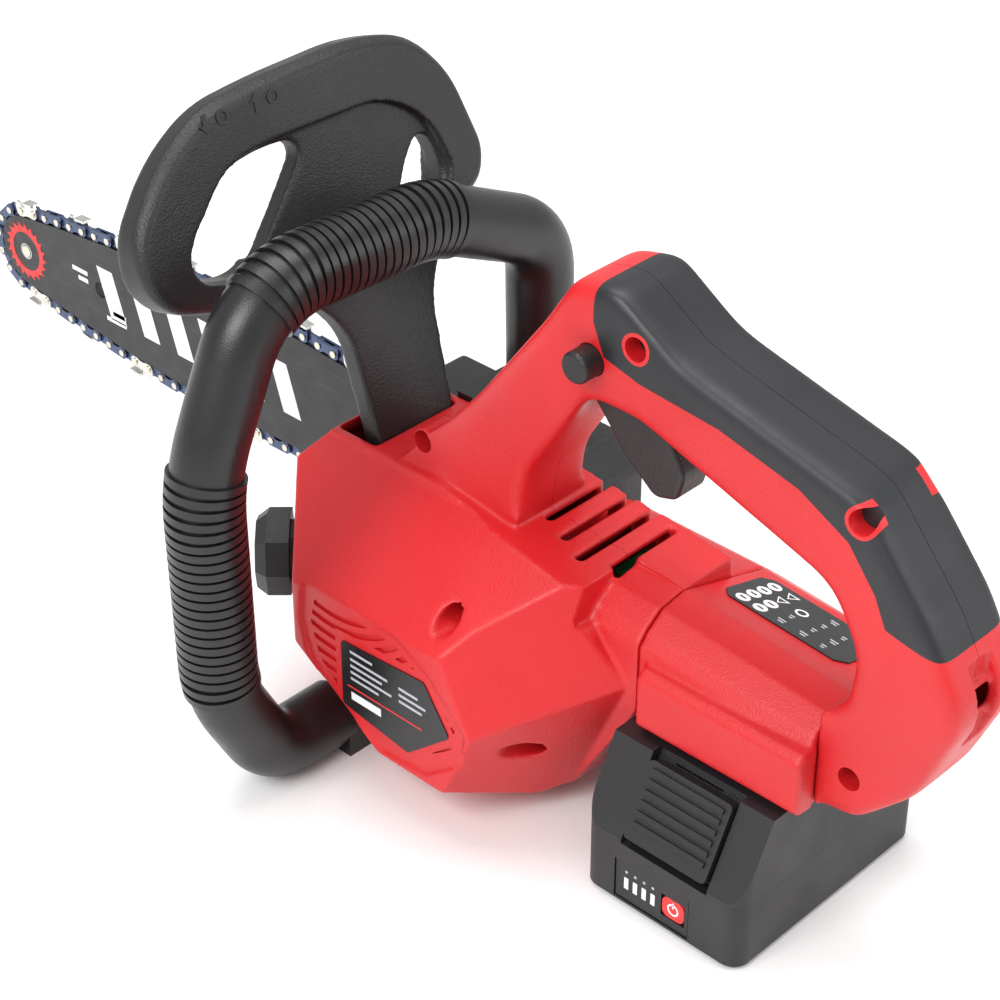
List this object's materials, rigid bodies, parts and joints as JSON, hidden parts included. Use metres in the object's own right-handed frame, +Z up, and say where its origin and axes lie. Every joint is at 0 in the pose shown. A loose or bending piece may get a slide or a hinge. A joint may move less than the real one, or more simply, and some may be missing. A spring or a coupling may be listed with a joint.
{
  "type": "cordless chainsaw",
  "caption": "cordless electric chainsaw with rear D-handle, looped front handle, tilting hand guard, slide-in battery pack, guide bar and saw chain",
  "frame": {"origin": "on the ground under the drive sprocket, in the joint plane of the housing halves, on the flat foot of the front handle", "axes": "+X forward along the guide bar, +Y to the operator's left, +Z up"},
  "size_m": [0.5844, 0.2037, 0.2607],
  "materials": {
    "housing_red": "fine moulded grain, satin",
    "black_plastic": "fine moulded grain",
    "grip_rubber": "soft-touch",
    "battery_black": "fine spark texture",
    "bar_steel": "satin black paint",
    "link_steel": "blued steel",
    "cutter_chrome": "hard chrome on steel",
    "rivet_steel": "bright steel",
    "machined_steel": "machined",
    "zinc_steel": "zinc plated",
    "cast_alloy": "die-cast",
    "magnet": "ferrite",
    "copper": "contact metal",
    "cell_wrap": "shrink wrap",
    "board_green": "solder mask",
    "tank_white": "translucent moulding",
    "seal_rubber": "smooth",
    "label_print": "printed film"
  },
  "bodies": {
    "chassis": {"left_housing": "housing_red", "right_housing": "housing_red", "housing_screws": "zinc_steel", "data_label": "label_print", "battery_dock": "housing_red", "icon_label": "label_print", "dock_terminal_block": "black_plastic", "rear_grip_left": "grip_rubber", "rear_grip_right": "grip_rubber", "front_handle": "black_plastic", "handle_screws": "zinc_steel", "guard_pivot_pin": "machined_steel", "brake_switch": "black_plastic", "trigger_pin": "machined_steel", "power_switch": "black_plastic", "trigger_spring": "machined_steel", "lock_off_spring": "machined_steel", "oil_tank": "tank_white", "cap_seal": "seal_rubber", "oil_pump": "cast_alloy", "oil_hose": "seal_rubber", "control_board": "board_green", "internal_wires": "seal_rubber", "sprocket_cover": "black_plastic", "bar_stud": "machined_steel", "spindle_bearings": "machined_steel", "gearbox_housing": "cast_alloy", "motor_can": "zinc_steel", "motor_magnets": "magnet", "motor_bearings": "machined_steel", "guide_bar": "bar_steel", "chain_drive_links": "link_steel", "chain_tie_straps": "link_steel", "chain_cutters_left": "cutter_chrome", "chain_cutters_right": "cutter_chrome", "chain_rivets": "rivet_steel", "nose_rivet": "rivet_steel", "tension_pin": "machined_steel"},
    "guard": {"hand_guard": "black_plastic"},
    "trigger": {"trigger": "black_plastic"},
    "lock_off": {"lock_off_button": "black_plastic"},
    "cap": {"oil_cap": "black_plastic"},
    "rotor": {"motor_rotor": "machined_steel", "motor_pinion": "machined_steel", "cooling_fan": "black_plastic"},
    "output": {"output_shaft": "machined_steel", "output_gear": "machined_steel", "drive_sprocket": "machined_steel", "sprocket_clip": "machined_steel"},
    "nose_wheel": {"nose_sprocket": "machined_steel"},
    "knob": {"cover_knob": "black_plastic"},
    "tension_screw": {"tension_screw": "zinc_steel"},
    "battery": {"battery_case_lower": "battery_black", "battery_case_upper": "battery_black", "battery_cells": "cell_wrap", "battery_contacts": "copper", "gauge_panel": "battery_black", "latch_spring": "machined_steel"},
    "latch": {"battery_latch": "battery_black"},
    "gauge_button": {"gauge_button": "label_print"}
  },
  "joints": [
    {"name": "guard_brake", "type": "hinge", "parent": "chassis", "child": "guard", "pos_m": [0.0186, 0, 0.1055], "axis": [0, 1, 0], "range_deg": [0, 25]},
    {"name": "trigger_squeeze", "type": "hinge", "parent": "chassis", "child": "trigger", "pos_m": [-0.085, 0, 0.187], "axis": [0, 1, 0], "range_deg": [0, 9], "stiffness_Nm_per_rad": 0.6, "springref_deg": -5.73, "deforming": ["trigger_spring"]},
    {"name": "lock_off_press", "type": "slide", "parent": "chassis", "child": "lock_off", "axis": [0, -1, 0], "range_m": [0, 0.005], "stiffness_N_per_m": 300, "springref_m": -0.001, "deforming": ["lock_off_spring"]},
    {"name": "oil_cap_turn", "type": "hinge", "parent": "chassis", "child": "cap", "pos_m": [0.0351, 0.046, 0.072], "axis": [0.7219, 0.6919, 0], "continuous": true},
    {"name": "output_spin", "type": "hinge", "parent": "chassis", "child": "output", "pos_m": [-0.00295, -0.033, 0.074], "axis": [0, 1, 0], "continuous": true},
    {"name": "motor_spin", "type": "hinge", "parent": "chassis", "child": "rotor", "pos_m": [-0.03443, 0.02, 0.06254], "axis": [0, 1, 0], "continuous": true},
    {"name": "nose_spin", "type": "hinge", "parent": "chassis", "child": "nose_wheel", "pos_m": [0.3084, -0.033, 0.074], "axis": [0, 1, 0], "continuous": true},
    {"name": "cover_knob_turn", "type": "hinge", "parent": "chassis", "child": "knob", "pos_m": [0.03505, -0.065, 0.074], "axis": [0, -1, 0], "continuous": true},
    {"name": "tension_screw_turn", "type": "hinge", "parent": "chassis", "child": "tension_screw", "pos_m": [0.05, -0.0275, 0.064], "axis": [1, 0, 0], "continuous": true},
    {"name": "battery_slide", "type": "slide", "parent": "chassis", "child": "battery", "axis": [0, 1, 0], "range_m": [0, 0.12]},
    {"name": "battery_latch_slide", "type": "slide", "parent": "battery", "child": "latch", "axis": [0, 0.4604, -0.8877], "range_m": [0, 0.002], "stiffness_N_per_m": 400, "springref_m": -0.001},
    {"name": "gauge_button_press", "type": "slide", "parent": "battery", "child": "gauge_button", "axis": [0, -1, 0], "range_m": [0, 0.0007], "stiffness_N_per_m": 800, "springref_m": -0.0005}
  ],
  "couplings": [
    {"joint": "motor_spin", "follows": "output_spin", "ratio": -5.0909},
    {"joint": "nose_spin", "follows": "output_spin", "ratio": 0.874}
  ]
}
